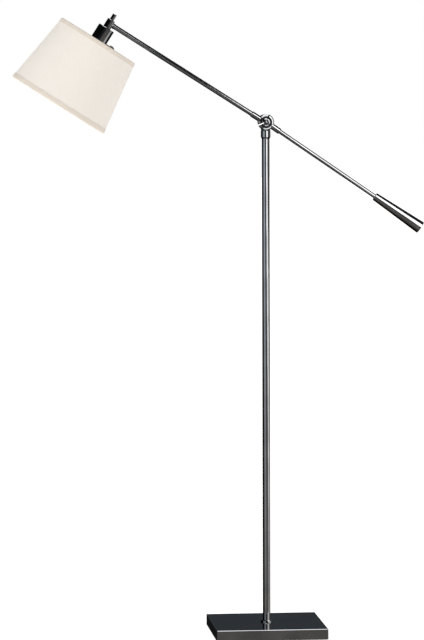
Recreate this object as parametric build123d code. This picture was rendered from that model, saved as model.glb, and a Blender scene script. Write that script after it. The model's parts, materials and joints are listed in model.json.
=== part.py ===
from build123d import *
import math
import os

# Adjustable arm floor lamp, in millimetres.
# The origin is the middle of the base's underside, on the floor. +Z is up, X runs along the
# base's front side towards the counterweight, and +Y is the back, where the cord comes out.
# The arm stands as it is used: the lamp end is high, over -X.

# Base
base_width = 260.0
base_depth = 260.0
base_height = 25.4
base_bevel = 1.0
base_corner = 2.0
cover_wall = 1.5
skirt_lift = 1.0
pad_thickness = 1.5
pad_margin = 3.0
weight_gap = 0.25
nut_pocket_radius = 22.0
nut_pocket_depth = 11.0
cord_channel = 12.0
gland_height = 7.5
gland_flange_radius = 6.8
gland_barrel_radius = 5.4
gland_bore_radius = 3.3
gland_flange = 2.0
gland_length = 10.0

# Pole and its fixings
pole_radius = 9.0
pole_wall = 1.5
pole_top = 1172.0
plug_length = 22.0
bush_length = 26.0
pipe_radius = 4.75          # threaded hollow pipe, used at the foot, the arm and the head
pipe_bore = 3.0
foot_pipe_bottom = 3.5
foot_washer_radius = 18.0
foot_washer_thickness = 3.0
foot_nut_flats = 19.0
foot_nut_thickness = 5.0
foot_collar_radius = 14.0
foot_collar_height = 4.5
pole_collar_radius = 11.3
pole_collar_bottom = 1157.5
pole_collar_top = 1176.6
collar_taper = 4.0
edge_break = 0.8

# Knuckle on top of the pole: two discs on a cross screw
hub_height = 1196.3
knuckle_radius = 18.7
rear_disc_thickness = 13.5
neck_radius = 11.0
neck_reach = 14.3            # the neck ends this far under the knuckle's centre
neck_gap = 0.3
friction_ring_thickness = 1.2
front_disc_thickness = 14.3
front_edge_break = 2.0
front_bevel_width = 2.8
front_bevel_rise = 1.0
face_recess_radius = 13.4
face_recess_depth = 2.0
wire_pocket_inner = 5.8
wire_pocket_outer = 13.0
wire_pocket_depth = 9.0
friction_ring_outer = 17.0
friction_ring_inner = 13.4
stem_radius = 5.0
stem_bore = 3.2
stem_bottom = 1138.0
stem_top_inset = 5.6
stem_nut_flats = 12.5
stem_nut_thickness = 5.0
stem_washer_radius = 7.1
stem_washer_thickness = 1.2
screw_radius = 4.0
clamp_washer_radius = 9.0
clamp_washer_thickness = 3.5
washer_edge_break = 0.4
washer_bevel_width = 1.7
washer_bevel_rise = 0.5
screw_head_radius = 6.0
screw_head_length = 8.0
screw_head_break = 0.8
screw_button_rise = 1.0
screw_button_dome = 3.9
screw_tail = 13.0
cap_nut_flats = 14.0
cap_nut_length = 6.75
cap_nut_dome = 3.5
bar_radius = 1.2
bar_reach = 23.0
bar_stub = 7.2
bar_fall = 20.6             # degrees below level, pointing to the lamp side

# Arm
arm_turn = -2.5             # degrees about the pole between the base's side and the arm's plane
arm_angle = 32.5            # degrees above level on the lamp side
arm_drop = 1.6              # the arm's axis passes this far under the knuckle's centre
rod_angle = 34.45           # degrees below level on the other side, with the rod's droop
arm_reach = 428.7           # knuckle centre to the lamp head's axis
arm_radius = 5.7
arm_wall = 0.9
arm_start = 19.2
rod_radius = 5.0
rod_spigot_radius = 4.0
sleeve_radius = 7.0
sleeve_end = 38.8
sleeve_lip = 1.0
arm_pipe_start = 13.2
arm_pipe_end = 36.0
ferrule_radius = 6.3
ferrule_length = 5.6
ferrule_lap = 2.0
tip_pivot_radius = 4.0
tip_pivot_bore = 2.6
tip_pivot_grip = 18.0
weight_start = 307.2
weight_length = 129.5
weight_small_radius = 9.45
weight_large_radius = 14.65
weight_bore_depth = 60.0
weight_bevel = 0.9

# Lamp head, in heights along its own axis from the arm's axis towards the shade's mouth
finial_top = -25.0
finial_radius = 5.0
finial_stud_radius = 2.5
block_top = -10.0
block_bottom = 11.5
block_radius = 9.25
block_bore_depth = 5.0
cup_bottom = 52.0
cup_radius = 19.8
cup_wall = 1.2
cup_roof = 1.5
locknut_flats = 15.0
locknut_thickness = 3.0
head_pipe_top = 5.0
head_pipe_bottom = 24.0
socket_top = 20.0
socket_bottom = 86.0
socket_radius = 17.5
socket_wall = 3.0
socket_floor = 4.0
socket_bead_radius = 18.4
socket_bead_top = 66.0
socket_bead_bottom = 68.0
housing_top = 32.0
housing_bottom = 54.0
shell_top = 56.0
shell_bottom = 84.0
shell_radius = 14.2
shell_wall = 0.6
contact_radius = 3.5
fitter_radius = 23.0
fitter_thickness = 2.0
ring_radius = 22.5
ring_height = 7.0
ring_flutes = 24
flute_radius = 0.9

# Shade
shade_top = 47.2
shade_bottom = 221.8
shade_top_radius = 99.4
shade_bottom_radius = 124.3
shade_skin = 1.2
shade_wire_radius = 1.5
spoke_radius = 1.25
spoke_count = 3
trim_thickness = 0.8
top_trim_width = 9.0
bottom_trim_width = 11.0

# Bulb
bulb_cap_radius = 13.3
bulb_cap_top = 60.0
bulb_cap_ridge = 0.5
bulb_cap_ridges = 6
bulb_tip_radius = 4.0
bulb_neck_radius = 13.6
bulb_radius = 30.0
bulb_middle = 134.0
bulb_wall = 0.8

# Switch
switch_height = 44.5
switch_stem_radius = 1.3
switch_stem_start = 3.0
knob_radius = 3.75
knob_start = 29.0
knob_end = 37.5
knob_tip_radius = 2.2
knob_tip_end = 40.8
knob_flutes = 10
knob_flute_radius = 0.6

# Clearances
fit_gap = 0.05              # between fixed pieces that fit inside one another
running_gap = 0.06          # between a turning piece and its bore

# Frames. Each one's local Z is the axis that its pieces are turned about.
front_disc_back = rear_disc_thickness / 2 + friction_ring_thickness
front_disc_face = front_disc_back + front_disc_thickness
recess_floor = front_disc_face - face_recess_depth
arm_plane = front_disc_back + front_disc_thickness / 2
rise = math.radians(arm_angle)
fall = math.radians(rod_angle)
arm_way = Vector(-math.cos(rise), 0, math.sin(rise))
rod_way = Vector(math.cos(fall), 0, -math.sin(fall))
head_way = Vector(-math.sin(rise), 0, -math.cos(rise))
arm_swing = Rot(0, 0, arm_turn)
knuckle_centre = Vector(0, -arm_plane, hub_height)
arm_centre = knuckle_centre + head_way * arm_drop
knuckle_frame = Plane(origin=(0, 0, hub_height), x_dir=(1, 0, 0), z_dir=(0, -1, 0))
arm_frame = Plane(origin=arm_centre, x_dir=(0, 1, 0), z_dir=arm_way)
rod_frame = Plane(origin=knuckle_centre, x_dir=(0, 1, 0), z_dir=rod_way)
head_frame = Plane(origin=arm_centre + arm_way * arm_reach, x_dir=-arm_way, z_dir=head_way)


# Shapes that repeat

def turned(*outline):
    """A solid turned about local Z, from its (radius, height) corners in order."""
    corners = [(radius, 0, height) for radius, height in outline]
    return revolve(make_face(Polyline(*corners, close=True)), Axis.Z)


def bar(radius, start, end):
    """A round bar along local Z."""
    return Pos(0, 0, (start + end) / 2) * Cylinder(radius, end - start)


def cross_bar(radius, start, end):
    """A round bar along local X."""
    return Pos((start + end) / 2, 0, 0) * Rot(0, 90, 0) * Cylinder(radius, end - start)


def ring(outer, inner, start, end):
    """A plain ring or tube about local Z."""
    return bar(outer, start, end) - bar(inner, start, end)


def hexagon(flats, bore, start, end):
    """A hexagon nut about local Z."""
    outline = RegularPolygon(flats / 2, 6, major_radius=False)
    return Pos(0, 0, start) * extrude(outline, end - start) - bar(bore, start, end)


def flutes(count, at_radius, radius, start, end):
    """Round grooves along local Z, evenly spaced round a knob or ring."""
    groove = Pos(at_radius, 0, 0) * bar(radius, start, end)
    return [Rot(0, 0, 360 * index / count) * groove for index in range(count)]


def box_on(width, depth, bottom, top):
    """A box centred on Z between two heights."""
    return Pos(0, 0, (bottom + top) / 2) * Box(width, depth, top - bottom)


# Base and pole

def base_felt_pad():
    width = base_width - 2 * pad_margin
    depth = base_depth - 2 * pad_margin
    return box_on(width, depth, 0, pad_thickness)


def base_cover():
    """Pressed cover with an open underside, a pole hole and a hole for the cord gland."""
    cover = box_on(base_width, base_depth, skirt_lift, base_height)
    cover = fillet(cover.edges().filter_by(Axis.Z), base_corner)
    cover = chamfer(cover.faces().sort_by(Axis.Z)[-1].edges(), base_bevel)
    inside_width = base_width - 2 * cover_wall
    inside_depth = base_depth - 2 * cover_wall
    cover -= box_on(inside_width, inside_depth, skirt_lift, base_height - cover_wall)
    cover -= bar(pipe_radius + fit_gap, base_height - cover_wall, base_height)
    return cover - gland_way(gland_barrel_radius + fit_gap)


def gland_way(radius):
    """The round hole that the cord gland fills, through the back wall and the weight's edge."""
    length = gland_length + 1.0
    way = Rot(90, 0, 0) * Cylinder(radius, length)
    return Pos(0, base_depth / 2 + 1.0 - length / 2, gland_height) * way


def base_weight():
    """Cast slab with a pocket for the foot nut and a channel for the cord."""
    width = base_width - 2 * (cover_wall + weight_gap)
    depth = base_depth - 2 * (cover_wall + weight_gap)
    slab = box_on(width, depth, pad_thickness, base_height - cover_wall)
    pocket_roof = pad_thickness + nut_pocket_depth
    slab -= bar(nut_pocket_radius, pad_thickness, pocket_roof)
    slab -= bar(pipe_radius + fit_gap, pocket_roof, base_height - cover_wall)
    channel = box_on(cord_channel, depth / 2, pad_thickness, pad_thickness + cord_channel)
    return slab - Pos(0, depth / 4, 0) * channel


def cord_gland():
    """Rubber bush in the back wall; its bore takes the supply cord."""
    outline = (
        (gland_bore_radius, -gland_flange),
        (gland_flange_radius - 0.8, -gland_flange),
        (gland_flange_radius, -gland_flange + 0.8),
        (gland_flange_radius, 0),
        (gland_barrel_radius, 0),
        (gland_barrel_radius, gland_length - gland_flange),
        (gland_bore_radius, gland_length - gland_flange),
    )
    back = Plane(origin=(0, base_depth / 2, gland_height), x_dir=(1, 0, 0), z_dir=(0, -1, 0))
    return back * turned(*outline)


def foot_pipe():
    return ring(pipe_radius, pipe_bore, foot_pipe_bottom, base_height + plug_length - 2.0)


def foot_washer():
    top = pad_thickness + nut_pocket_depth
    return ring(foot_washer_radius, pipe_radius + fit_gap, top - foot_washer_thickness, top)


def foot_nut():
    top = pad_thickness + nut_pocket_depth - foot_washer_thickness
    return hexagon(foot_nut_flats, pipe_radius + fit_gap, top - foot_nut_thickness, top)


def foot_collar():
    """Round collar that hides the pole's lower end."""
    top = base_height + foot_collar_height
    inner = pole_radius + fit_gap
    return turned(
        (inner, base_height),
        (foot_collar_radius, base_height),
        (foot_collar_radius, top - 1.6),
        (foot_collar_radius - 0.5, top - 0.5),
        (foot_collar_radius - 1.6, top),
        (inner, top),
    )


def pole_tube():
    return ring(pole_radius, pole_radius - pole_wall, base_height, pole_top)


def pole_foot_plug():
    inner = pole_radius - pole_wall - fit_gap
    return ring(inner, pipe_radius + fit_gap, base_height, base_height + plug_length)


def pole_head_bush():
    """Bearing bush in the top of the pole, for the knuckle's stem."""
    outer = pole_radius - pole_wall - fit_gap
    return ring(outer, stem_radius + running_gap, pole_top - bush_length, pole_top)


def pole_collar():
    """Cap over the pole's top, tapered in to the pole below."""
    inner = pole_radius + fit_gap
    neck = stem_radius + 0.3
    return turned(
        (inner, pole_collar_bottom),
        (inner + 0.3, pole_collar_bottom),
        (pole_collar_radius, pole_collar_bottom + collar_taper),
        (pole_collar_radius, pole_collar_top - edge_break),
        (pole_collar_radius - edge_break, pole_collar_top),
        (neck, pole_collar_top),
        (neck, pole_top),
        (inner, pole_top),
    )


# Knuckle: pieces that turn with the stem

def turret_neck():
    """Neck under the rear disc, flush with its front face, that hides the stem above the pole's collar."""
    bottom = pole_collar_top + neck_gap
    top = hub_height - neck_reach
    neck = ring(neck_radius, stem_radius + fit_gap, bottom, top)
    side = 4 * neck_radius
    return neck & Pos(0, side / 2 - rear_disc_thickness / 2, bottom) * Box(side, side, side)


def rear_disc():
    """Rear half of the knuckle with its neck, screwed on the stem, with a pocket for the wires."""
    front = rear_disc_thickness / 2
    back = -front
    disc = turned(
        (screw_radius + running_gap, back),
        (knuckle_radius - 1.5, back),
        (knuckle_radius, back + 1.5),
        (knuckle_radius, front),
        (screw_radius + running_gap, front),
    )
    disc -= ring(wire_pocket_outer, wire_pocket_inner, front - wire_pocket_depth, front)
    stem_hole = Rot(90, 0, 0) * bar(stem_radius + fit_gap, wire_pocket_outer - 1.0, knuckle_radius)
    return turret_neck() + knuckle_frame * (disc - stem_hole)


def turret_stem():
    top = hub_height - knuckle_radius + stem_top_inset
    return ring(stem_radius, stem_bore, stem_bottom, top)


def stem_washer():
    top = pole_top - bush_length - fit_gap
    return ring(stem_washer_radius, stem_radius + fit_gap, top - stem_washer_thickness, top)


def stem_nut():
    top = pole_top - bush_length - fit_gap - stem_washer_thickness
    return hexagon(stem_nut_flats, stem_radius + fit_gap, top - stem_nut_thickness, top)


def pivot_cap_nut():
    """Domed nut behind the rear disc, for the clamp screw."""
    back = -rear_disc_thickness / 2
    dome_base = back - cap_nut_length
    corner = cap_nut_flats / 2 - 0.6
    nut = hexagon(cap_nut_flats, 0.01, dome_base, back)
    nut += turned(
        (0, dome_base),
        (corner, dome_base),
        (corner * 0.8, dome_base - cap_nut_dome * 0.6),
        (corner * 0.4, dome_base - cap_nut_dome),
        (0, dome_base - cap_nut_dome),
    )
    return knuckle_frame * (nut - bar(screw_radius + running_gap, -screw_tail - 1.0, back))


# Knuckle: the clamp screw

def clamp_screw():
    """Cross screw: flat round head with a raised button and a hole for the tommy bar, and a plain shank."""
    seat = recess_floor + clamp_washer_thickness
    face = seat + screw_head_length
    screw = turned(
        (0, -screw_tail),
        (screw_radius, -screw_tail),
        (screw_radius, seat),
        (screw_head_radius, seat),
        (screw_head_radius, face - screw_head_break),
        (screw_head_radius - screw_head_break, face),
        (0, face),
    )
    ball = Pos(0, 0, face + screw_button_rise - screw_button_dome) * Sphere(screw_button_dome)
    screw += ball & bar(screw_head_radius, face - 0.5, face + 2 * screw_button_rise)
    return knuckle_frame * (screw - bar_way() * cross_bar(bar_radius + fit_gap, -20, 20))


def bar_way():
    """Where the tommy bar lies: across the screw's head, its long end to the lamp side."""
    middle = recess_floor + clamp_washer_thickness + screw_head_length / 2
    return Pos(0, 0, middle) * Rot(0, 0, 180 + bar_fall)


def tommy_bar():
    rod = cross_bar(bar_radius, -bar_stub, bar_reach)
    rod = chamfer(rod.edges().filter_by(GeomType.CIRCLE), 0.4)
    return knuckle_frame * (bar_way() * rod)


# Knuckle and arm: pieces that tilt

def front_disc_rim():
    """Corners of the front disc's rim from its back to its face: a broken edge and a shallow bevel."""
    bevel_foot = front_disc_face - front_bevel_rise
    bevel_radius = knuckle_radius - front_edge_break
    return (
        (knuckle_radius, front_disc_back),
        (knuckle_radius, bevel_foot - front_edge_break),
        (bevel_radius, bevel_foot),
        (bevel_radius - front_bevel_width, front_disc_face),
    )


def front_disc_body():
    """Outer form of the front disc, with a sunk face round the screw."""
    bore = screw_radius + running_gap
    return turned(
        (bore, front_disc_back),
        *front_disc_rim(),
        (face_recess_radius, front_disc_face),
        (face_recess_radius, recess_floor),
        (bore, recess_floor),
    )


def front_disc():
    """Front half of the knuckle, with a wire pocket and a socket for each arm."""
    pocket_top = front_disc_back + wire_pocket_depth
    disc = front_disc_body()
    disc -= ring(wire_pocket_outer, wire_pocket_inner, front_disc_back, pocket_top)
    disc = knuckle_frame * disc
    disc -= arm_frame * bar(pipe_radius + fit_gap, wire_pocket_outer - 0.5, knuckle_radius + 1)
    return disc - rod_frame * bar(rod_spigot_radius + fit_gap, wire_pocket_outer - 0.5, knuckle_radius + 1)


def friction_ring():
    start = rear_disc_thickness / 2 + fit_gap
    return knuckle_frame * ring(friction_ring_outer, friction_ring_inner, start, front_disc_back)


def clamp_washer():
    """Thick washer under the screw's head, with a broken edge and a shallow bevel."""
    face = recess_floor + clamp_washer_thickness - fit_gap
    bevel_foot = face - washer_bevel_rise
    bevel_radius = clamp_washer_radius - washer_edge_break
    bore = screw_radius + running_gap
    return knuckle_frame * turned(
        (bore, recess_floor),
        (clamp_washer_radius, recess_floor),
        (clamp_washer_radius, bevel_foot - washer_edge_break),
        (bevel_radius, bevel_foot),
        (bevel_radius - washer_bevel_width, face),
        (bore, face),
    )


def sleeve(frame, bore):
    """Short sleeve against the front disc, over the root of an arm."""
    outline = (
        (bore, 14.0),
        (sleeve_radius, 14.0),
        (sleeve_radius, sleeve_end - sleeve_lip),
        (sleeve_radius - sleeve_lip, sleeve_end),
        (bore, sleeve_end),
    )
    disc = turned((0, front_disc_back), *front_disc_rim(), (0, front_disc_face))
    return (frame * turned(*outline)) - knuckle_frame * disc


def arm_sleeve():
    return sleeve(arm_frame, arm_radius + fit_gap)


def rod_sleeve():
    return sleeve(rod_frame, rod_radius + fit_gap)


def arm_pipe():
    """Threaded pipe that joins the arm tube to the front disc."""
    return arm_frame * ring(pipe_radius, pipe_bore, arm_pipe_start, arm_pipe_end)


def arm_tube_end():
    return arm_reach - block_radius - 0.15 - (ferrule_length - ferrule_lap)


def arm_tube():
    return arm_frame * ring(arm_radius, arm_radius - arm_wall, arm_start, arm_tube_end())


def arm_tip_ferrule():
    """Small cap over the end of the arm tube, next to the swivel block."""
    end = arm_tube_end()
    lap = end - ferrule_lap
    tip = end + ferrule_length - ferrule_lap
    neck = tip_pivot_radius + fit_gap
    return arm_frame * turned(
        (arm_radius + fit_gap, lap),
        (ferrule_radius, lap),
        (ferrule_radius, tip - 0.6),
        (ferrule_radius - 0.6, tip),
        (neck, tip),
        (neck, end),
        (arm_radius + fit_gap, end),
    )


def arm_tip_pivot():
    """Hollow stub in the arm's end that the lamp head turns on."""
    end = arm_tube_end()
    grip = arm_radius - arm_wall - fit_gap
    nose = arm_reach + block_bore_depth - 0.5
    return arm_frame * turned(
        (tip_pivot_bore, end - tip_pivot_grip),
        (grip, end - tip_pivot_grip),
        (grip, end),
        (tip_pivot_radius, end),
        (tip_pivot_radius, nose),
        (tip_pivot_bore, nose),
    )


def counter_rod():
    """Solid rod with a turned-down root in the disc and a long end in the weight."""
    end = weight_start + weight_bore_depth - 2.0
    return rod_frame * turned(
        (0, arm_pipe_start),
        (rod_spigot_radius, arm_pipe_start),
        (rod_spigot_radius, arm_start),
        (rod_radius, arm_start),
        (rod_radius, end),
        (0, end),
    )


def counterweight():
    """Long tapered weight with a flat outer end."""
    end = weight_start + weight_length
    bore = rod_radius + fit_gap
    bore_end = weight_start + weight_bore_depth
    return rod_frame * turned(
        (bore, weight_start),
        (weight_small_radius - weight_bevel, weight_start),
        (weight_small_radius, weight_start + weight_bevel),
        (weight_large_radius, end - weight_bevel),
        (weight_large_radius - weight_bevel, end),
        (0, end),
        (0, bore_end),
        (bore, bore_end),
    )


# Lamp head, in its own frame

def head_finial():
    """Round post on the swivel block; its stud bears on the arm's pivot."""
    stud_end = -tip_pivot_radius - 0.3
    return turned(
        (0, finial_top),
        (finial_radius - edge_break, finial_top),
        (finial_radius, finial_top + edge_break),
        (finial_radius, block_top),
        (finial_stud_radius, block_top),
        (finial_stud_radius, stud_end),
        (0, stud_end),
    )


def swivel_block():
    """Turned block with a cross bore for the arm's pivot and a socket for the pipe below."""
    block = turned(
        (0, block_top),
        (block_radius - edge_break, block_top),
        (block_radius, block_top + edge_break),
        (block_radius, block_bottom - edge_break),
        (block_radius - edge_break, block_bottom),
        (0, block_bottom),
    )
    block -= cross_bar(tip_pivot_radius + running_gap, -block_bore_depth, block_radius + 1)
    block -= bar(finial_stud_radius + fit_gap, block_top, 0)
    block -= bar(pipe_bore, 0, head_pipe_top)
    return block - bar(pipe_radius + fit_gap, head_pipe_top, block_bottom)


def head_pipe():
    return ring(pipe_radius, pipe_bore, head_pipe_top, head_pipe_bottom)


def socket_cup():
    """Plain cup over the socket, open below, with a side hole for the switch."""
    inner = cup_radius - cup_wall
    neck = pipe_radius + fit_gap
    cup = turned(
        (neck, block_bottom),
        (cup_radius - edge_break, block_bottom),
        (cup_radius, block_bottom + edge_break),
        (cup_radius, cup_bottom),
        (inner, cup_bottom),
        (inner, block_bottom + cup_roof),
        (neck, block_bottom + cup_roof),
    )
    return cup - switch_way() * cross_bar(2.5, inner - 1, cup_radius + 1)


def switch_way():
    """The switch stem's line, square to the head's axis on the arm's side."""
    return Pos(0, 0, switch_height)


def cup_locknut():
    start = block_bottom + cup_roof
    return hexagon(locknut_flats, pipe_radius + fit_gap, start, start + locknut_thickness)


def socket_body():
    """Moulded socket body with a bead that the shade's washer seats on."""
    inner = socket_radius - socket_wall
    neck = pipe_radius + fit_gap
    body = turned(
        (neck, socket_top),
        (socket_radius - 2.0, socket_top),
        (socket_radius, socket_top + 2.0),
        (socket_radius, socket_bead_top),
        (socket_bead_radius, socket_bead_top),
        (socket_bead_radius, socket_bead_bottom),
        (socket_radius, socket_bead_bottom),
        (socket_radius, socket_bottom),
        (inner, socket_bottom),
        (inner, socket_top + socket_floor),
        (neck, socket_top + socket_floor),
    )
    return body - switch_way() * cross_bar(2.0, inner - 1, socket_radius + 1)


def switch_housing():
    outer = socket_radius - socket_wall - fit_gap
    housing = bar(outer, housing_top, housing_bottom)
    bore = switch_stem_radius + running_gap
    return housing - switch_way() * cross_bar(bore, switch_stem_start - 1.0, outer + 1)


def screw_shell():
    """Threaded shell of the socket, drawn plain, with a hole for the centre contact."""
    inner = shell_radius - shell_wall
    return turned(
        (5.0, shell_top),
        (shell_radius, shell_top),
        (shell_radius, shell_bottom),
        (inner, shell_bottom),
        (inner, shell_top + 1.0),
        (5.0, shell_top + 1.0),
    )


def centre_contact():
    return bar(contact_radius, housing_bottom, bulb_cap_top - 2.6)


def fitter_washer():
    inner = socket_radius + 0.2
    return ring(fitter_radius, inner, socket_bead_bottom, socket_bead_bottom + fitter_thickness)


def shade_retaining_ring():
    """Fluted ring that clamps the shade's washer to the socket."""
    start = socket_bead_bottom + fitter_thickness
    end = start + ring_height
    body = ring(ring_radius, socket_radius + 0.2, start, end)
    return body - flutes(ring_flutes, ring_radius + 0.3, flute_radius, start, end)


# Shade, in the head's frame

def shade_radius(height):
    """Outer radius of the shade's panel at a height along the head's axis."""
    share = (height - shade_top) / (shade_bottom - shade_top)
    return shade_top_radius + share * (shade_bottom_radius - shade_top_radius)


def shade_band(start, end, inner, outer):
    """A tapered band; inner and outer are counted from the panel's outer face."""
    return turned(
        (shade_radius(start) + inner, start),
        (shade_radius(start) + outer, start),
        (shade_radius(end) + outer, end),
        (shade_radius(end) + inner, end),
    )


def shade_panel():
    return shade_band(shade_top, shade_bottom, -shade_skin, 0)


def shade_top_trim():
    return shade_band(shade_top, shade_top + top_trim_width, fit_gap, trim_thickness)


def shade_bottom_trim():
    return shade_band(shade_bottom - bottom_trim_width, shade_bottom, fit_gap, trim_thickness)


def wire_hoop(height):
    """Wire ring just inside the panel."""
    radius = shade_radius(height) - shade_skin - shade_wire_radius - 0.15
    return Pos(0, 0, height) * Torus(radius, shade_wire_radius)


def shade_top_wire():
    return wire_hoop(shade_top + shade_wire_radius + 0.2)


def shade_bottom_wire():
    return wire_hoop(shade_bottom - shade_wire_radius - 0.2)


def fitter_spokes():
    """Wires from the washer on the socket up and out to the shade's top ring."""
    ring_height_top = shade_top + shade_wire_radius + 0.2
    ring_line = shade_radius(ring_height_top) - shade_skin - 2 * shade_wire_radius
    inner = Vector(fitter_radius + 0.4, 0, socket_bead_bottom + fitter_thickness / 2)
    outer = Vector(ring_line - 0.4, 0, ring_height_top)
    line = outer - inner
    spoke = Plane(origin=inner, z_dir=line) * bar(spoke_radius, 0, line.length)
    turn = 360 / spoke_count
    return Compound([Rot(0, 0, turn / 2 + turn * index) * spoke for index in range(spoke_count)])


# Bulb, in the head's frame

def bulb_cap():
    """Screw cap of the bulb: rounded thread turns, then the tip contact."""
    pitch = (socket_bottom - bulb_cap_top) / bulb_cap_ridges
    outline = [(0, bulb_cap_top - 2.5), (bulb_tip_radius, bulb_cap_top - 2.5)]
    outline.append((bulb_cap_radius - 2.0, bulb_cap_top))
    for index in range(bulb_cap_ridges):
        height = bulb_cap_top + index * pitch
        outline.append((bulb_cap_radius - bulb_cap_ridge, height + 0.15 * pitch))
        outline.append((bulb_cap_radius, height + 0.4 * pitch))
        outline.append((bulb_cap_radius, height + 0.6 * pitch))
        outline.append((bulb_cap_radius - bulb_cap_ridge, height + 0.85 * pitch))
    outline.append((bulb_cap_radius - bulb_cap_ridge, socket_bottom))
    outline.append((0, socket_bottom))
    return turned(*outline)


def bulb_form(inset):
    """Pear shape with a waisted neck that flows into a ball, drawn in by the inset."""
    neck_radius = bulb_neck_radius - inset
    ball_radius = bulb_radius - inset
    slant = ball_radius * math.sqrt(0.5)
    foot = (neck_radius, 0, socket_bottom)
    neck = (neck_radius, 0, socket_bottom + 4.0)
    shoulder = (ball_radius, 0, bulb_middle)
    crown = (0, 0, bulb_middle + ball_radius)
    outline = Polyline((0, 0, socket_bottom), foot, neck)
    outline += Spline(neck, shoulder, tangents=((0, 0, 1), (0, 0, 1)))
    outline += ThreePointArc(shoulder, (slant, 0, bulb_middle + slant), crown)
    outline += Line(crown, (0, 0, socket_bottom))
    return revolve(make_face(outline), Axis.Z)


def bulb_glass():
    """Blown bulb, open at its neck."""
    return bulb_form(0) - bulb_form(bulb_wall)


# Switch, in the head's frame

def switch_stem():
    return switch_way() * cross_bar(switch_stem_radius, switch_stem_start, knob_end - 2.0)


def switch_knob():
    """Fluted turn knob with a small tip, bored for the stem."""
    knob = turned(
        (switch_stem_radius + fit_gap, knob_start),
        (knob_radius - 0.4, knob_start),
        (knob_radius, knob_start + 0.4),
        (knob_radius, knob_end - 0.8),
        (knob_radius - 0.8, knob_end),
        (knob_tip_radius, knob_end),
        (knob_tip_radius, knob_tip_end - 0.5),
        (knob_tip_radius - 0.5, knob_tip_end),
        (0, knob_tip_end),
        (0, knob_end - 2.0),
        (switch_stem_radius + fit_gap, knob_end - 2.0),
    )
    knob -= flutes(knob_flutes, knob_radius + 0.25, knob_flute_radius, knob_start, knob_end)
    return switch_way() * Rot(0, 90, 0) * knob


# Every piece, by the frame that its function is written in

stand_pieces = (
    base_felt_pad,
    base_cover,
    base_weight,
    cord_gland,
    foot_pipe,
    foot_washer,
    foot_nut,
    foot_collar,
    pole_tube,
    pole_foot_plug,
    pole_head_bush,
    pole_collar,
)
arm_pieces = (
    rear_disc,
    turret_stem,
    stem_washer,
    stem_nut,
    pivot_cap_nut,
    clamp_screw,
    tommy_bar,
    front_disc,
    friction_ring,
    clamp_washer,
    arm_sleeve,
    rod_sleeve,
    arm_pipe,
    arm_tube,
    arm_tip_ferrule,
    arm_tip_pivot,
    counter_rod,
    counterweight,
)
head_pieces = (
    head_finial,
    swivel_block,
    head_pipe,
    socket_cup,
    cup_locknut,
    socket_body,
    switch_housing,
    screw_shell,
    centre_contact,
    fitter_washer,
    fitter_spokes,
    shade_retaining_ring,
    shade_panel,
    shade_top_trim,
    shade_bottom_trim,
    shade_top_wire,
    shade_bottom_wire,
    bulb_cap,
    bulb_glass,
    switch_stem,
    switch_knob,
)

os.makedirs("parts", exist_ok=True)
for make_piece in stand_pieces:
    export_step(make_piece(), f"parts/{make_piece.__name__}.step")
for make_piece in arm_pieces:
    export_step(arm_swing * make_piece(), f"parts/{make_piece.__name__}.step")
for make_piece in head_pieces:
    export_step(arm_swing * (head_frame * make_piece()), f"parts/{make_piece.__name__}.step")
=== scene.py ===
"""Looks of the adjustable arm floor lamp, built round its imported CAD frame. All sizes are in metres."""
import json
import math

import bpy
from mathutils import Euler, Matrix, Quaternion, Vector, noise


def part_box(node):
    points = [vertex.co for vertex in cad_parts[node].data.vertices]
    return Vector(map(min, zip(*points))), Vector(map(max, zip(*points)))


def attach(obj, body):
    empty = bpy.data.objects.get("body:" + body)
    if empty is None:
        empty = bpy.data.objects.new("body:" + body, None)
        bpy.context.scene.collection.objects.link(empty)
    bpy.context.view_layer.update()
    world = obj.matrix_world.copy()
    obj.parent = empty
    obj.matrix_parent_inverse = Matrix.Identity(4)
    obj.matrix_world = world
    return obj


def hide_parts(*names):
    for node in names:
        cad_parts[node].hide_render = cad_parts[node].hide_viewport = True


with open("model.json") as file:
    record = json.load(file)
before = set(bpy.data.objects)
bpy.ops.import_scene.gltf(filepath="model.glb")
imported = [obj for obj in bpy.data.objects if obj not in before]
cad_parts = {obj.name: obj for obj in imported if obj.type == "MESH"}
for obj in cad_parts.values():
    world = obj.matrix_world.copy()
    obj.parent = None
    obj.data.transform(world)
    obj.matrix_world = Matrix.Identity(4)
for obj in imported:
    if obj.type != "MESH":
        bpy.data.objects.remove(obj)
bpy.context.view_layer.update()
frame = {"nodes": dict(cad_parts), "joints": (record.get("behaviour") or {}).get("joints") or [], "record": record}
nodes = frame["nodes"]
scene = bpy.context.scene

# Camera, as the lamp was photographed
camera_place = Vector((-0.9398, -8.544, 1.3726))
camera_turn = 5.437          # degrees to the right of straight ahead
camera_dip = 4.241           # degrees below level
camera_roll = -0.184
camera_lens = 207.75
sensor_width = 36.0

# Shade: cloth over a stiff lining, with a folded tape on each rim
cloth_thickness = 0.0005
lining_gap = 0.0001
lap_width = 0.009
lap_slope = 1.2              # lap widths over which the cloth slopes back down
lap_rise = 0.00045
lap_angle = -1.45            # radians round the head's axis; the lap is at the back of the shade
tape_thickness = 0.0005
tape_lift = 0.00008
tape_lap_offset = 0.35       # radians from the cloth's lap to the tape's own
tape_fold_inside = 0.0082
shade_segments = 288
shade_rows = 56
weave_pitch = 0.00055

# Light in the studio: what cloth and floor catch, and what mirrors show
world_fill = 0.6
floor_glow = (1.0, 0.97, 0.94)
floor_glow_strength = 0.7
mirror_dark = (0.05, 0.057, 0.064)
mirror_floor = (0.33, 0.31, 0.285)
mirror_black = (0.01, 0.01, 0.011)
mirror_distance = 3.2
left_tint = (0.85, 0.93, 1.0)
right_tint = (1.0, 0.985, 0.97)
warm_tint = (1.0, 0.9, 0.8)

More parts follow.
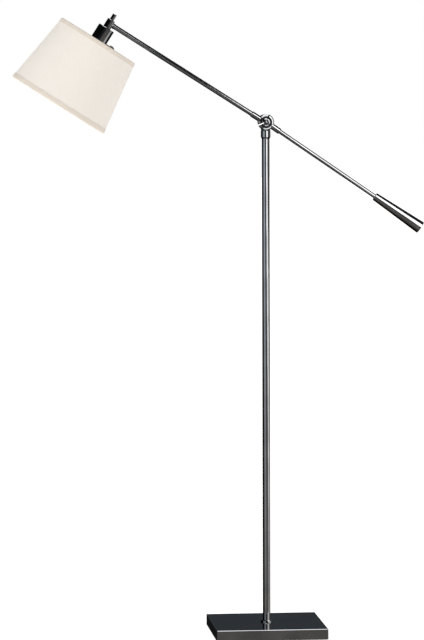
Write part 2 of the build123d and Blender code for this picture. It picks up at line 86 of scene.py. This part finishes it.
# The two tall mirror lights lean. At each height: bearing, half-width (both degrees) and glow
right_lean = (
    (-1.30, 66, 32, 1.3),
    (-0.62, 68, 32, 1.3),
    (-0.45, 84, 30, 0.9),
    (-0.26, 82, 30, 1.1),
    (0.04, 75, 27, 2.2),
    (0.30, 66, 26, 2.5),
    (0.55, 51, 27, 3.0),
    (0.75, 40, 23, 3.7),
    (0.95, 29, 18, 4.8),
    (1.50, 29, 18, 4.8),
    (2.10, 36, 24, 5.5),
    (2.70, 37, 23, 6.5),
    (3.10, 41, 19, 6.5),
    (3.90, 45, 14, 6.5),
)
left_lean = (
    (-0.45, -35, 25, 0.28),
    (0.00, -39, 25, 0.6),
    (0.30, -43, 25, 0.9),
    (0.70, -50, 25, 1.3),
    (1.40, -50, 25, 1.3),
)
lean_panel = 0.15

# Felt pad under the base
felt_corner = 0.004
felt_corner_steps = 5
felt_segments = 40


# ---------------------------------------------------------------- frame of the lamp head

joints = {joint["name"]: joint for joint in frame["joints"]}


def head_matrix():
    """The lamp head's own frame: Z runs from the arm towards the shade's mouth, X towards the knuckle."""
    arm_way = Vector(joints["head_swivel"]["axis"]).normalized()
    head_way = arm_way.cross(Vector(joints["arm_tilt"]["axis"])).normalized()
    side = head_way.cross(-arm_way)
    turn = Matrix((-arm_way, side, head_way)).transposed().to_4x4()
    return Matrix.Translation(Vector(joints["head_swivel"]["pos_m"])) @ turn


head = head_matrix()
head_inverse = head.inverted()


def head_points(node):
    """(radius, height) of each of a node's vertices, in the head's frame."""
    points = [head_inverse @ vertex.co for vertex in nodes[node].data.vertices]
    return [(math.hypot(point.x, point.y), point.z) for point in points]


def cone_of(node):
    """Heights of a round node's ends, and its outer radius at each, in the head's frame."""
    points = head_points(node)
    low = min(height for _, height in points)
    high = max(height for _, height in points)
    near = 0.0005
    low_radius = max(radius for radius, height in points if height < low + near)
    high_radius = max(radius for radius, height in points if height > high - near)
    return low, high, low_radius, high_radius


shade_top, shade_bottom, shade_top_radius, shade_bottom_radius = cone_of("shade_panel")


def shade_radius(height):
    """Outer radius of the shade's cloth at a height in the head's frame."""
    share = (height - shade_top) / (shade_bottom - shade_top)
    return shade_top_radius + share * (shade_bottom_radius - shade_top_radius)


# ---------------------------------------------------------------- mesh helpers

def mesh_object(name, vertices, faces, coordinates=None):
    """A smooth-shaded object; coordinates gives each vertex's (u, v) in metres for woven finishes."""
    mesh = bpy.data.meshes.new(name)
    mesh.from_pydata(vertices, [], faces)
    mesh.validate()
    mesh.update()
    mesh.polygons.foreach_set("use_smooth", [True] * len(mesh.polygons))
    if coordinates:
        layer = mesh.uv_layers.new(name="metres")
        for loop in mesh.loops:
            layer.data[loop.index].uv = coordinates[loop.vertex_index]
    piece = bpy.data.objects.new(name, mesh)
    scene.collection.objects.link(piece)
    return piece


def smooth_path(points, steps):
    """A Catmull-Rom curve through points, with that many steps between each pair."""
    padded = [points[0], *points, points[-1]]
    path = []
    for before, start, end, after in zip(padded, padded[1:], padded[2:], padded[3:]):
        for step in range(steps):
            t = step / steps
            path.append(tuple(
                0.5 * (2 * b + (c - a) * t + (2 * a - 5 * b + 4 * c - d) * t * t
                       + (3 * b - a - 3 * c + d) * t ** 3)
                for a, b, c, d in zip(before, start, end, after)
            ))
    path.append(tuple(points[-1]))
    return path


def thickened(path, thickness):
    """A closed outline round an open path, half the thickness to each side."""
    left = []
    right = []
    for index, point in enumerate(path):
        before = Vector(path[max(index - 1, 0)])
        after = Vector(path[min(index + 1, len(path) - 1)])
        way = (after - before).normalized()
        across = Vector((-way.y, way.x)) * thickness / 2
        left.append(Vector(point) + across)
        right.append(Vector(point) - across)
    return left + right[::-1]


def turned_piece(name, outline, segments, bulge, lay):
    """A closed outline of (radius, height) turned about the head's axis.

    bulge(angle, radius, height) gives how far a point stands off its radius. lay is the length
    along the outline at each of its points, which the woven finishes use."""
    count = len(outline)
    vertices = []
    coordinates = []
    around = sum(point[0] for point in outline) / count
    for segment in range(segments):
        angle = 2 * math.pi * segment / segments
        for (radius, height), length in zip(outline, lay):
            out = radius + bulge(angle, radius, height)
            place = head @ Vector((out * math.cos(angle), out * math.sin(angle), height))
            vertices.append(place)
            coordinates.append((angle * around, length))
    faces = []
    for segment in range(segments):
        here = segment * count
        there = (segment + 1) % segments * count
        for index in range(count):
            after = (index + 1) % count
            faces.append((here + index, there + index, there + after, here + after))
    piece = mesh_object(name, vertices, faces, coordinates)
    mend_seam(piece, around)
    return piece


def mend_seam(piece, around):
    """Carries the last strip's coordinates on past the full turn, so that the weave meets itself."""
    layer = piece.data.uv_layers.active
    turn = 2 * math.pi * around
    for polygon in piece.data.polygons:
        across = [layer.data[index].uv[0] for index in polygon.loop_indices]
        if max(across) - min(across) > turn / 2:
            for index in polygon.loop_indices:
                if layer.data[index].uv[0] < turn / 2:
                    layer.data[index].uv[0] += turn


def lengths_along(outline):
    """Distance along an outline at each of its points."""
    total = 0.0
    lengths = [0.0]
    for start, end in zip(outline, outline[1:]):
        total += math.dist(start, end)
        lengths.append(total)
    return lengths


# ---------------------------------------------------------------- material helpers

class Finish:
    """A material with one Principled shader, and short calls to add the nodes that feed it."""

    def __init__(self, name, **values):
        self.material = bpy.data.materials.new(name)
        self.material.use_nodes = True
        self.tree = self.material.node_tree
        self.shader = self.tree.nodes["Principled BSDF"]
        for key, value in values.items():
            self.shader.inputs[key.replace("_", " ")].default_value = value

    def node(self, kind, **values):
        """A node; plain names set its properties and names with a trailing _in set its inputs."""
        made = self.tree.nodes.new(kind)
        for key, value in values.items():
            if key.endswith("_in"):
                made.inputs[key[:-3].replace("_", " ")].default_value = value
            else:
                setattr(made, key, value)
        return made

    def link(self, source, target):
        self.tree.links.new(source, target)

    def place(self):
        """Positions on the piece, in metres."""
        return self.node("ShaderNodeTexCoord").outputs["Object"]

    def math(self, operation, first, second=0.0):
        made = self.node("ShaderNodeMath", operation=operation)
        for socket, value in zip(made.inputs, (first, second)):
            if isinstance(value, (int, float)):
                socket.default_value = value
            else:
                self.link(value, socket)
        return made.outputs[0]

    def noise(self, scale, detail=3.0, roughness=0.5, at=None, stretch=(1, 1, 1)):
        """Noise from 0 to 1, with scale in features per metre."""
        mapping = self.node("ShaderNodeMapping")
        mapping.inputs["Scale"].default_value = stretch
        self.link(at or self.place(), mapping.inputs["Vector"])
        made = self.node("ShaderNodeTexNoise", Scale_in=scale, Detail_in=detail, Roughness_in=roughness)
        self.link(mapping.outputs[0], made.inputs["Vector"])
        return made.outputs["Fac"]

    def spread(self, value, low, high, from_low=0.35, from_high=0.65):
        """Stretches a noise value to lie between low and high."""
        made = self.node("ShaderNodeMapRange", From_Min_in=from_low, From_Max_in=from_high,
                         To_Min_in=low, To_Max_in=high)
        self.link(value, made.inputs["Value"])
        return made.outputs["Result"]

    def blend(self, share, first, second):
        """Mixes two colours by a share from 0 to 1."""
        made = self.node("ShaderNodeMix", data_type="RGBA")
        self.link(share, made.inputs["Factor"])
        for socket, value in ((made.inputs["A"], first), (made.inputs["B"], second)):
            if isinstance(value, tuple):
                socket.default_value = (*value, 1.0)
            else:
                self.link(value, socket)
        return made.outputs["Result"]

    def colour(self, value):
        self.link(value, self.shader.inputs["Base Color"])

    def rough(self, value):
        self.link(value, self.shader.inputs["Roughness"])

    def bump(self, height, depth):
        """Relief; depth is the height in metres of a value of 1."""
        made = self.node("ShaderNodeBump", Distance_in=depth)
        self.link(height, made.inputs["Height"])
        self.link(made.outputs["Normal"], self.shader.inputs["Normal"])


def metal(name, dark, light, rough_low, rough_high, grain, grain_depth):
    """Solid metal with cloudy tone, uneven polish and a fine grain."""
    finish = Finish(name, Metallic=1.0)
    cloud = finish.noise(14.0, detail=4.0)
    finish.colour(finish.blend(finish.spread(cloud, 0, 1), dark, light))
    smear = finish.noise(45.0, detail=6.0, roughness=0.62)
    finish.rough(finish.spread(smear, rough_low, rough_high, 0.3, 0.7))
    finish.bump(finish.noise(grain, detail=4.0, roughness=0.6), grain_depth)
    return finish.material


def moulding(name, dark, light, rough_low, rough_high, grain, grain_depth, **values):
    """Moulded or cast stuff that isn't a bare metal."""
    finish = Finish(name, **values)
    cloud = finish.noise(60.0, detail=5.0)
    finish.colour(finish.blend(finish.spread(cloud, 0, 1), dark, light))
    finish.rough(finish.spread(finish.noise(180.0, detail=4.0), rough_low, rough_high))
    finish.bump(finish.noise(grain, detail=5.0, roughness=0.6), grain_depth)
    return finish.material


def woven(name, warp_tone, weft_tone, gap_shade_and_slub_tone, pitch, depth):
    """Plain-weave cloth with thick and thin threads, a faint slub of random tone, painted shade in the gaps
    between threads and a soft, fuzzy sheen.
    """
    finish = Finish(name, Sheen_Weight=0.1, Sheen_Roughness=0.5, Specular_IOR_Level=0.1)
    flat = finish.node("ShaderNodeUVMap", uv_map="metres").outputs["UV"]
    parts = finish.node("ShaderNodeSeparateXYZ")
    finish.link(flat, parts.inputs[0])
    thread = []
    for axis in ("X", "Y"):
        turns = finish.math("MULTIPLY", parts.outputs[axis], math.pi / pitch)
        thread.append(finish.math("POWER", finish.math("ABSOLUTE", finish.math("SINE", turns)), 0.7))
    checks = finish.node("ShaderNodeTexChecker", Scale_in=1.0 / pitch)
    finish.link(flat, checks.inputs["Vector"])
    over = checks.outputs["Fac"]
    under = finish.math("SUBTRACT", 1.0, over)
    warp = finish.math("MULTIPLY", thread[0], over)
    weft = finish.math("MULTIPLY", thread[1], under)
    weave = finish.math("ADD", warp, weft)
    along = finish.noise(90.0, detail=3.0, at=flat, stretch=(0.35, 14.0, 1.0))
    across = finish.noise(90.0, detail=3.0, at=flat, stretch=(14.0, 0.35, 1.0))
    slub = finish.math("ADD", finish.math("MULTIPLY", along, 0.5), finish.math("MULTIPLY", across, 0.5))
    threads = finish.blend(over, weft_tone, warp_tone)
    uneven = finish.blend(finish.spread(slub, 0.5, 1.0, 0.38, 0.62), gap_shade_and_slub_tone, threads)
    # Painted shade: the colour darkens to the dark tone in the gaps between threads; the slub's darkening above is
    # random tone
    gaps = finish.spread(weave, 0.0, 1.0, 0.0, 0.8)
    finish.colour(finish.blend(gaps, gap_shade_and_slub_tone, uneven))
    finish.rough(finish.spread(slub, 0.82, 0.95))
    relief = finish.math("ADD", weave, finish.math("MULTIPLY", slub, 1.2))
    finish.bump(relief, depth)
    return finish.material


# ---------------------------------------------------------------- materials

gunmetal = metal("gunmetal", (0.17, 0.172, 0.178), (0.23, 0.232, 0.24), 0.035, 0.075, 900.0, 0.0000002)
bright_steel = metal("bright_steel", (0.72, 0.72, 0.72), (0.82, 0.82, 0.82), 0.12, 0.2, 900.0, 0.000001)
zinc_steel = metal("zinc_steel", (0.50, 0.50, 0.47), (0.66, 0.66, 0.64), 0.25, 0.42, 700.0, 0.00001)
brass = metal("brass", (0.62, 0.44, 0.18), (0.78, 0.60, 0.30), 0.18, 0.34, 800.0, 0.000006)
cast_iron = moulding("cast_iron", (0.05, 0.05, 0.052), (0.10, 0.10, 0.10), 0.55, 0.75, 450.0, 0.00012,
                     Metallic=0.6)
black_moulding = moulding("black_moulding", (0.012, 0.012, 0.013), (0.022, 0.021, 0.021), 0.28, 0.42,
                          1100.0, 0.00001, Coat_Weight=0.1)
rubber = moulding("rubber", (0.016, 0.016, 0.017), (0.03, 0.03, 0.03), 0.6, 0.8, 900.0, 0.00003)
fibre = moulding("friction_fibre", (0.05, 0.042, 0.034), (0.09, 0.075, 0.06), 0.7, 0.85, 1500.0, 0.00003)
wire_paint = moulding("shade_wire", (0.74, 0.71, 0.66), (0.84, 0.82, 0.78), 0.25, 0.4, 700.0, 0.00001,
                      Coat_Weight=0.2)
lining_white = moulding("shade_lining", (0.80, 0.775, 0.735), (0.86, 0.84, 0.80), 0.6, 0.75, 260.0, 0.00001,
                        Specular_IOR_Level=0.12)
bulb_white = moulding("frosted_glass", (0.86, 0.855, 0.83), (0.93, 0.925, 0.91), 0.45, 0.6, 500.0, 0.000004,
                      Specular_IOR_Level=0.3, Coat_Weight=0.15, Coat_Roughness=0.2)
felt_wool = moulding("felt", (0.012, 0.012, 0.012), (0.04, 0.038, 0.037), 0.9, 1.0, 2600.0, 0.0003,
                     Sheen_Weight=0.5)
shade_cloth_finish = woven("shade_cloth", (0.885, 0.848, 0.80), (0.87, 0.83, 0.778), (0.80, 0.75, 0.685),
                           weave_pitch, 0.00012)
shade_tape_finish = woven("shade_tape", (0.80, 0.735, 0.655), (0.78, 0.715, 0.63), (0.69, 0.62, 0.53),
                          weave_pitch * 0.85, 0.00014)

slot_finishes = {
    "gunmetal": gunmetal,
    "cast_iron": cast_iron,
    "felt": felt_wool,
    "rubber": rubber,
    "zinc_steel": zinc_steel,
    "brass": brass,
    "black_moulding": black_moulding,
    "friction_fibre": fibre,
    "shade_wire": wire_paint,
    "shade_cloth": lining_white,
    "shade_trim": lining_white,
    "frosted_glass": bulb_white,
}

# Pieces whose look differs from the rest of their slot
own_finishes = {
    "tommy_bar": bright_steel,
    "switch_stem": black_moulding,
}


def finish_cad_nodes():
    """Every CAD node gets its material, and smooth shading that keeps its hard edges."""
    for entry in frame["record"]["subparts"]:
        node = nodes[entry["node"]]
        node.data.materials.clear()
        finish = own_finishes.get(entry["node"], slot_finishes[entry["material_slot"]])
        node.data.materials.append(finish)
        node.data.polygons.foreach_set("use_smooth", [True] * len(node.data.polygons))
        node.data.set_sharp_from_angle(angle=math.radians(28))


finish_cad_nodes()


# ---------------------------------------------------------------- shade

def shade_sway(angle, height):
    """A stiff shade is never quite round: a fraction of a millimetre, slowly varying."""
    spot = Vector((1.3 * math.cos(angle), 1.3 * math.sin(angle), height * 9.0))
    return 0.00028 * noise.noise(spot) + 0.00009 * noise.noise(spot * 4.0)


def lap_bulge(angle, radius):
    """Height of the cloth's lap: a folded edge on one side, a slow slope on the other."""
    past = (angle - lap_angle + math.pi) % (2 * math.pi) - math.pi
    along = past * radius
    if along < 0 or along > (1 + lap_slope) * lap_width:
        return 0.0
    if along < lap_width:
        return lap_rise
    fade = (along - lap_width) / (lap_slope * lap_width)
    return lap_rise * (1 - fade) ** 2


def skin_outline(outer_inset, thickness, start, end, rows):
    """Closed outline of one layer of the shade, as (radius, height) points, outer face first."""
    heights = [start + (end - start) * row / rows for row in range(rows + 1)]
    outer = [(shade_radius(height) - outer_inset, height) for height in heights]
    inner = [(radius - thickness, height) for radius, height in reversed(outer)]
    return outer + inner


def make_shade_cloth():
    """The woven cover, with its glued lap at the back."""
    edge = 0.0006
    outline = skin_outline(0.0, cloth_thickness, shade_top + edge, shade_bottom - edge, shade_rows)

    def bulge(angle, radius, height):
        lap = lap_bulge(angle, radius) if radius > shade_radius(height) - cloth_thickness / 2 else 0.0
        return shade_sway(angle, height) + lap

    lay = [height for _, height in outline]
    piece = turned_piece("shade_cloth", outline, shade_segments, bulge, lay)
    piece.data.materials.append(shade_cloth_finish)
    return piece


def make_shade_lining():
    """The stiff backing that shows inside the shade."""
    edge = 0.0008
    inset = cloth_thickness + lining_gap
    outline = skin_outline(inset, cloth_thickness, shade_top + edge, shade_bottom - edge, shade_rows // 2)

    def bulge(angle, radius, height):
        return shade_sway(angle, height)

    lay = [height for _, height in outline]
    piece = turned_piece("shade_lining", outline, shade_segments, bulge, lay)
    piece.data.materials.append(lining_white)
    return piece


def tape_path(rim, inward, wire_depth, wire_radius, band):
    """The tape's course over a rim, as (radius, height): outer band, round the wire, then the inner fold."""
    skin = 2 * cloth_thickness + lining_gap
    out = tape_lift + tape_thickness / 2
    wire_in = skin + 2 * wire_radius + tape_thickness / 2 + 0.0002
    over = tape_thickness / 2 + 0.0002
    course = [
        (out, band),
        (out, band * 0.5),
        (out, 0.0019),
        (-0.0002, 0.0003),
        (-0.0014, -over),
        (-skin - wire_radius * 1.1, -over),
        (-wire_in + 0.0006, wire_depth - wire_radius * 0.75),
        (-wire_in - 0.0002, wire_depth + 0.0003),
        (-wire_in + 0.0006, wire_depth + wire_radius * 1.1),
        (-skin - 0.0010, wire_depth + wire_radius * 2.4),
        (-skin - tape_thickness, tape_fold_inside - 0.0015),
        (-skin - tape_thickness, tape_fold_inside),
    ]
    points = []
    for offset, depth in course:
        height = rim + inward * depth
        points.append((shade_radius(height) + offset, height))
    return smooth_path(points, 5)


def make_tape(name, rim, inward, wire_node, trim_node):
    """Folded tape on one rim of the shade. inward is 1 at the top rim and -1 at the mouth."""
    wire_low, wire_high, _, _ = cone_of(wire_node)
    wire_radius = (wire_high - wire_low) / 2
    wire_depth = abs((wire_high + wire_low) / 2 - rim)
    trim_low, trim_high, _, _ = cone_of(trim_node)
    path = tape_path(rim, inward, wire_depth, wire_radius, trim_high - trim_low)
    outline = thickened(path, tape_thickness)
    lengths = lengths_along(path)
    lay = lengths + lengths[::-1]

    def bulge(angle, radius, height):
        outside = radius > shade_radius(height)
        lap = lap_bulge(angle - tape_lap_offset, radius) if outside else 0.0
        spot = Vector((5 * math.cos(angle), 5 * math.sin(angle), height * 60.0))
        return shade_sway(angle, height) + lap + 0.00012 * noise.noise(spot)

    piece = turned_piece(name, [tuple(point) for point in outline], shade_segments, bulge, lay)
    piece.data.materials.append(shade_tape_finish)
    return piece


shade_cloth = make_shade_cloth()
shade_lining = make_shade_lining()
top_tape = make_tape("shade_top_tape", shade_top, 1, "shade_top_wire", "shade_top_trim")
bottom_tape = make_tape("shade_bottom_tape", shade_bottom, -1, "shade_bottom_wire", "shade_bottom_trim")

for piece, slot_name in (
    (shade_cloth, "shade_cloth"),
    (shade_lining, "shade_cloth"),
    (top_tape, "shade_trim"),
    (bottom_tape, "shade_trim"),
):
    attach(piece, "head")
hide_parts("shade_panel")
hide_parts("shade_top_trim")
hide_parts("shade_bottom_trim")


# ---------------------------------------------------------------- felt pad

def make_felt_pad():
    """Thin wool pad with rounded corners and a soft, slightly uneven edge."""
    low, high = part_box("base_felt_pad")
    middle = (low + high) / 2
    half = (high - low) / 2
    thickness = high.z - low.z
    ring = []
    for corner in range(4):
        turn = corner * math.pi / 2
        centre_x = math.copysign(half.x - felt_corner, math.cos(turn + math.pi / 4))
        centre_y = math.copysign(half.y - felt_corner, math.sin(turn + math.pi / 4))
        for step in range(felt_corner_steps + 1):
            angle = turn + step * math.pi / (2 * felt_corner_steps)
            ring.append(Vector((centre_x + felt_corner * math.cos(angle),
                                centre_y + felt_corner * math.sin(angle), 0)))
    edge = []
    for start, end in zip(ring, ring[1:] + ring[:1]):
        pieces = max(1, int((end - start).length / (2 * half.x) * felt_segments))
        edge.extend(start.lerp(end, piece / pieces) for piece in range(pieces))
    # How far the edge stands in, and the share of the thickness, from the underside up
    levels = ((0.0009, 0.0), (0.0002, 0.22), (0.0, 0.5), (0.0002, 0.78), (0.0009, 1.0))
    vertices = []
    for inset, share in levels:
        for point in edge:
            fray = 0.0002 * noise.noise(point * 160.0)
            scale = 1 - (inset + abs(fray)) / max(half.x, half.y)
            vertices.append((middle.x + point.x * scale, middle.y + point.y * scale,
                             low.z + share * thickness))
    count = len(edge)
    faces = []
    for level in range(len(levels) - 1):
        for index in range(count):
            after = (index + 1) % count
            faces.append((level * count + index, level * count + after,
                          (level + 1) * count + after, (level + 1) * count + index))
    faces.append(tuple(reversed(range(count))))
    faces.append(tuple(range((len(levels) - 1) * count, len(levels) * count)))
    piece = mesh_object("felt_sheet", vertices, faces)
    piece.data.set_sharp_from_angle(angle=math.radians(50))
    piece.data.materials.append(felt_wool)
    return piece


felt_pad = make_felt_pad()
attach(felt_pad, "stand")
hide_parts("base_felt_pad")


# ---------------------------------------------------------------- floor, lights and camera

def make_floor():
    """A plain pale floor under the lamp, which glows a little so that it stays white far off."""
    half = 30.0
    corners = [(-half, -half, 0), (half, -half, 0), (half, half, 0), (-half, half, 0)]
    floor = mesh_object("floor", corners, [(0, 1, 2, 3)])
    finish = Finish("floor_white", Roughness=0.9, Specular_IOR_Level=0.1,
                    Emission_Color=(*floor_glow, 1.0), Emission_Strength=floor_glow_strength)
    finish.colour(finish.blend(finish.noise(2.0), (0.90, 0.90, 0.90), (0.92, 0.92, 0.92)))
    floor.data.materials.append(finish.material)
    floor.visible_glossy = False


def make_world():
    """White to the eye, softer as a light, and in mirrors a dark studio with a dim warm floor in front.

    In mirrors it is black on the left and below the horizon behind."""
    world = bpy.data.worlds.new("studio")
    scene.world = world
    world.use_nodes = True
    tree = world.node_tree
    links = tree.links
    path = tree.nodes.new("ShaderNodeLightPath")
    way = tree.nodes.new("ShaderNodeTexCoord")
    parts = tree.nodes.new("ShaderNodeSeparateXYZ")
    links.new(way.outputs["Generated"], parts.inputs[0])

    def fade(axis, start, end):
        """0 to 1 as a direction's part along an axis goes from start to end."""
        made = tree.nodes.new("ShaderNodeMapRange")
        made.inputs["From Min"].default_value = start
        made.inputs["From Max"].default_value = end
        links.new(parts.outputs[axis], made.inputs["Value"])
        return made.outputs["Result"]

    def combine(operation, first, second):
        made = tree.nodes.new("ShaderNodeMath")
        made.operation = operation
        links.new(first, made.inputs[0])
        links.new(second, made.inputs[1])
        return made.outputs[0]

    def tone(share, second):
        """A colour mix that ends at the second colour; its first is set by the caller."""
        made = tree.nodes.new("ShaderNodeMix")
        made.data_type = "RGBA"
        made.inputs["B"].default_value = (*second, 1.0)
        links.new(share, made.inputs["Factor"])
        return made

    below = fade("Z", 0.0, -0.12)
    front = fade("Y", 0.1, -0.7)
    left = fade("X", -0.15, -0.5)
    unlit = tone(combine("MAXIMUM", below, left), mirror_black)
    unlit.inputs["A"].default_value = (*mirror_dark, 1.0)
    studio = tone(combine("MULTIPLY", below, front), mirror_floor)
    links.new(unlit.outputs["Result"], studio.inputs["A"])
    mirror = tree.nodes.new("ShaderNodeBackground")
    links.new(studio.outputs["Result"], mirror.inputs["Color"])

    white = tree.nodes["Background"]
    white.inputs["Color"].default_value = (1.0, 1.0, 1.0, 1.0)
    strength = tree.nodes.new("ShaderNodeMix")
    strength.inputs["A"].default_value = world_fill
    strength.inputs["B"].default_value = 1.0
    links.new(path.outputs["Is Camera Ray"], strength.inputs["Factor"])
    links.new(strength.outputs["Result"], white.inputs["Strength"])
    choice = tree.nodes.new("ShaderNodeMixShader")
    links.new(path.outputs["Is Glossy Ray"], choice.inputs["Fac"])
    links.new(white.outputs[0], choice.inputs[1])
    links.new(mirror.outputs[0], choice.inputs[2])
    links.new(choice.outputs[0], tree.nodes["World Output"].inputs["Surface"])


def make_area_light(name, width, height, glow, use):
    """A soft rectangular light that the camera doesn't see. glow is its radiance, and use says
    whether it shows in mirrors or lights cloth."""
    data = bpy.data.lights.new(name, "AREA")
    data.shape = "RECTANGLE"
    data.size = width
    data.size_y = height
    data.energy = glow * width * height * math.pi
    light = bpy.data.objects.new(name, data)
    scene.collection.objects.link(light)
    light.visible_camera = False
    light.visible_diffuse = use == "light"
    light.visible_glossy = use == "mirror"
    return light


def make_softbox(name, bearing, distance, bottom, top, width, glow, tint, use):
    """An upright area light. bearing is in degrees from the lamp's front towards +X."""
    turn = math.radians(bearing)
    light = make_area_light(name, width, top - bottom, glow, use)
    light.data.color = tint
    light.location = (distance * math.sin(turn), -distance * math.cos(turn), (bottom + top) / 2)
    light.rotation_euler = (math.pi / 2, 0, turn)


def make_leaning_softbox(name, lean, tint):
    """A tall mirror light that leans, as a stack of panels between the levels of its lean table."""
    bottom = lean[0][0]
    top = lean[-1][0]
    panels = round((top - bottom) / lean_panel)
    for panel in range(panels):
        low = bottom + (top - bottom) * panel / panels
        high = bottom + (top - bottom) * (panel + 1) / panels
        middle = (low + high) / 2
        for start, end in zip(lean, lean[1:]):
            if start[0] <= middle <= end[0]:
                share = (middle - start[0]) / (end[0] - start[0])
                bearing, half, glow = (a + (b - a) * share for a, b in zip(start[1:], end[1:]))
        width = 2 * mirror_distance * math.tan(math.radians(half))
        make_softbox(f"{name}_{panel}", bearing, mirror_distance, low, high, width, glow, tint, "mirror")


def make_aimed_light(name, place, target, width, height, glow):
    """A mirror light that faces a point on the lamp."""
    light = make_area_light(name, width, height, glow, "mirror")
    light.location = place
    light.rotation_euler = (Vector(target) - Vector(place)).to_track_quat("-Z", "Y").to_euler()


def make_camera():
    data = bpy.data.cameras.new("camera")
    data.lens = camera_lens
    data.sensor_width = sensor_width
    data.clip_end = 100.0
    camera = bpy.data.objects.new("camera", data)
    scene.collection.objects.link(camera)
    level = Euler((math.pi / 2 - math.radians(camera_dip), 0, -math.radians(camera_turn))).to_quaternion()
    turn = level @ Quaternion((0, 0, 1), math.radians(camera_roll))
    camera.matrix_world = Matrix.Translation(camera_place) @ turn.to_matrix().to_4x4()
    scene.camera = camera


make_floor()
make_world()
knuckle_place = joints["arm_tilt"]["pos_m"]
make_leaning_softbox("right", right_lean, right_tint)
make_softbox("far_right", bearing=105, distance=mirror_distance, bottom=0.5, top=1.4, width=3.0,
             glow=0.33, tint=warm_tint, use="mirror")
make_leaning_softbox("left", left_lean, left_tint)
make_aimed_light("front_high", (-0.40, -1.84, 2.84), knuckle_place, width=1.9, height=1.2, glow=4.5)
make_aimed_light("front_low", (0.88, -3.95, -1.74), knuckle_place, width=4.1, height=1.75, glow=3.0)
make_aimed_light("overhead", (0, -0.3, 3.6), (0, -0.3, 0), width=2.0, height=2.0, glow=5.0)
make_softbox("key", bearing=-55, distance=3.0, bottom=0.9, top=3.2, width=2.0,
             glow=1.9, tint=(1.0, 0.99, 0.975), use="light")
make_softbox("fill", bearing=50, distance=3.2, bottom=0.3, top=2.6, width=1.6,
             glow=0.1, tint=(1.0, 0.95, 0.9), use="light")
make_camera()

scene.view_settings.view_transform = "Standard"
scene.view_settings.look = "None"
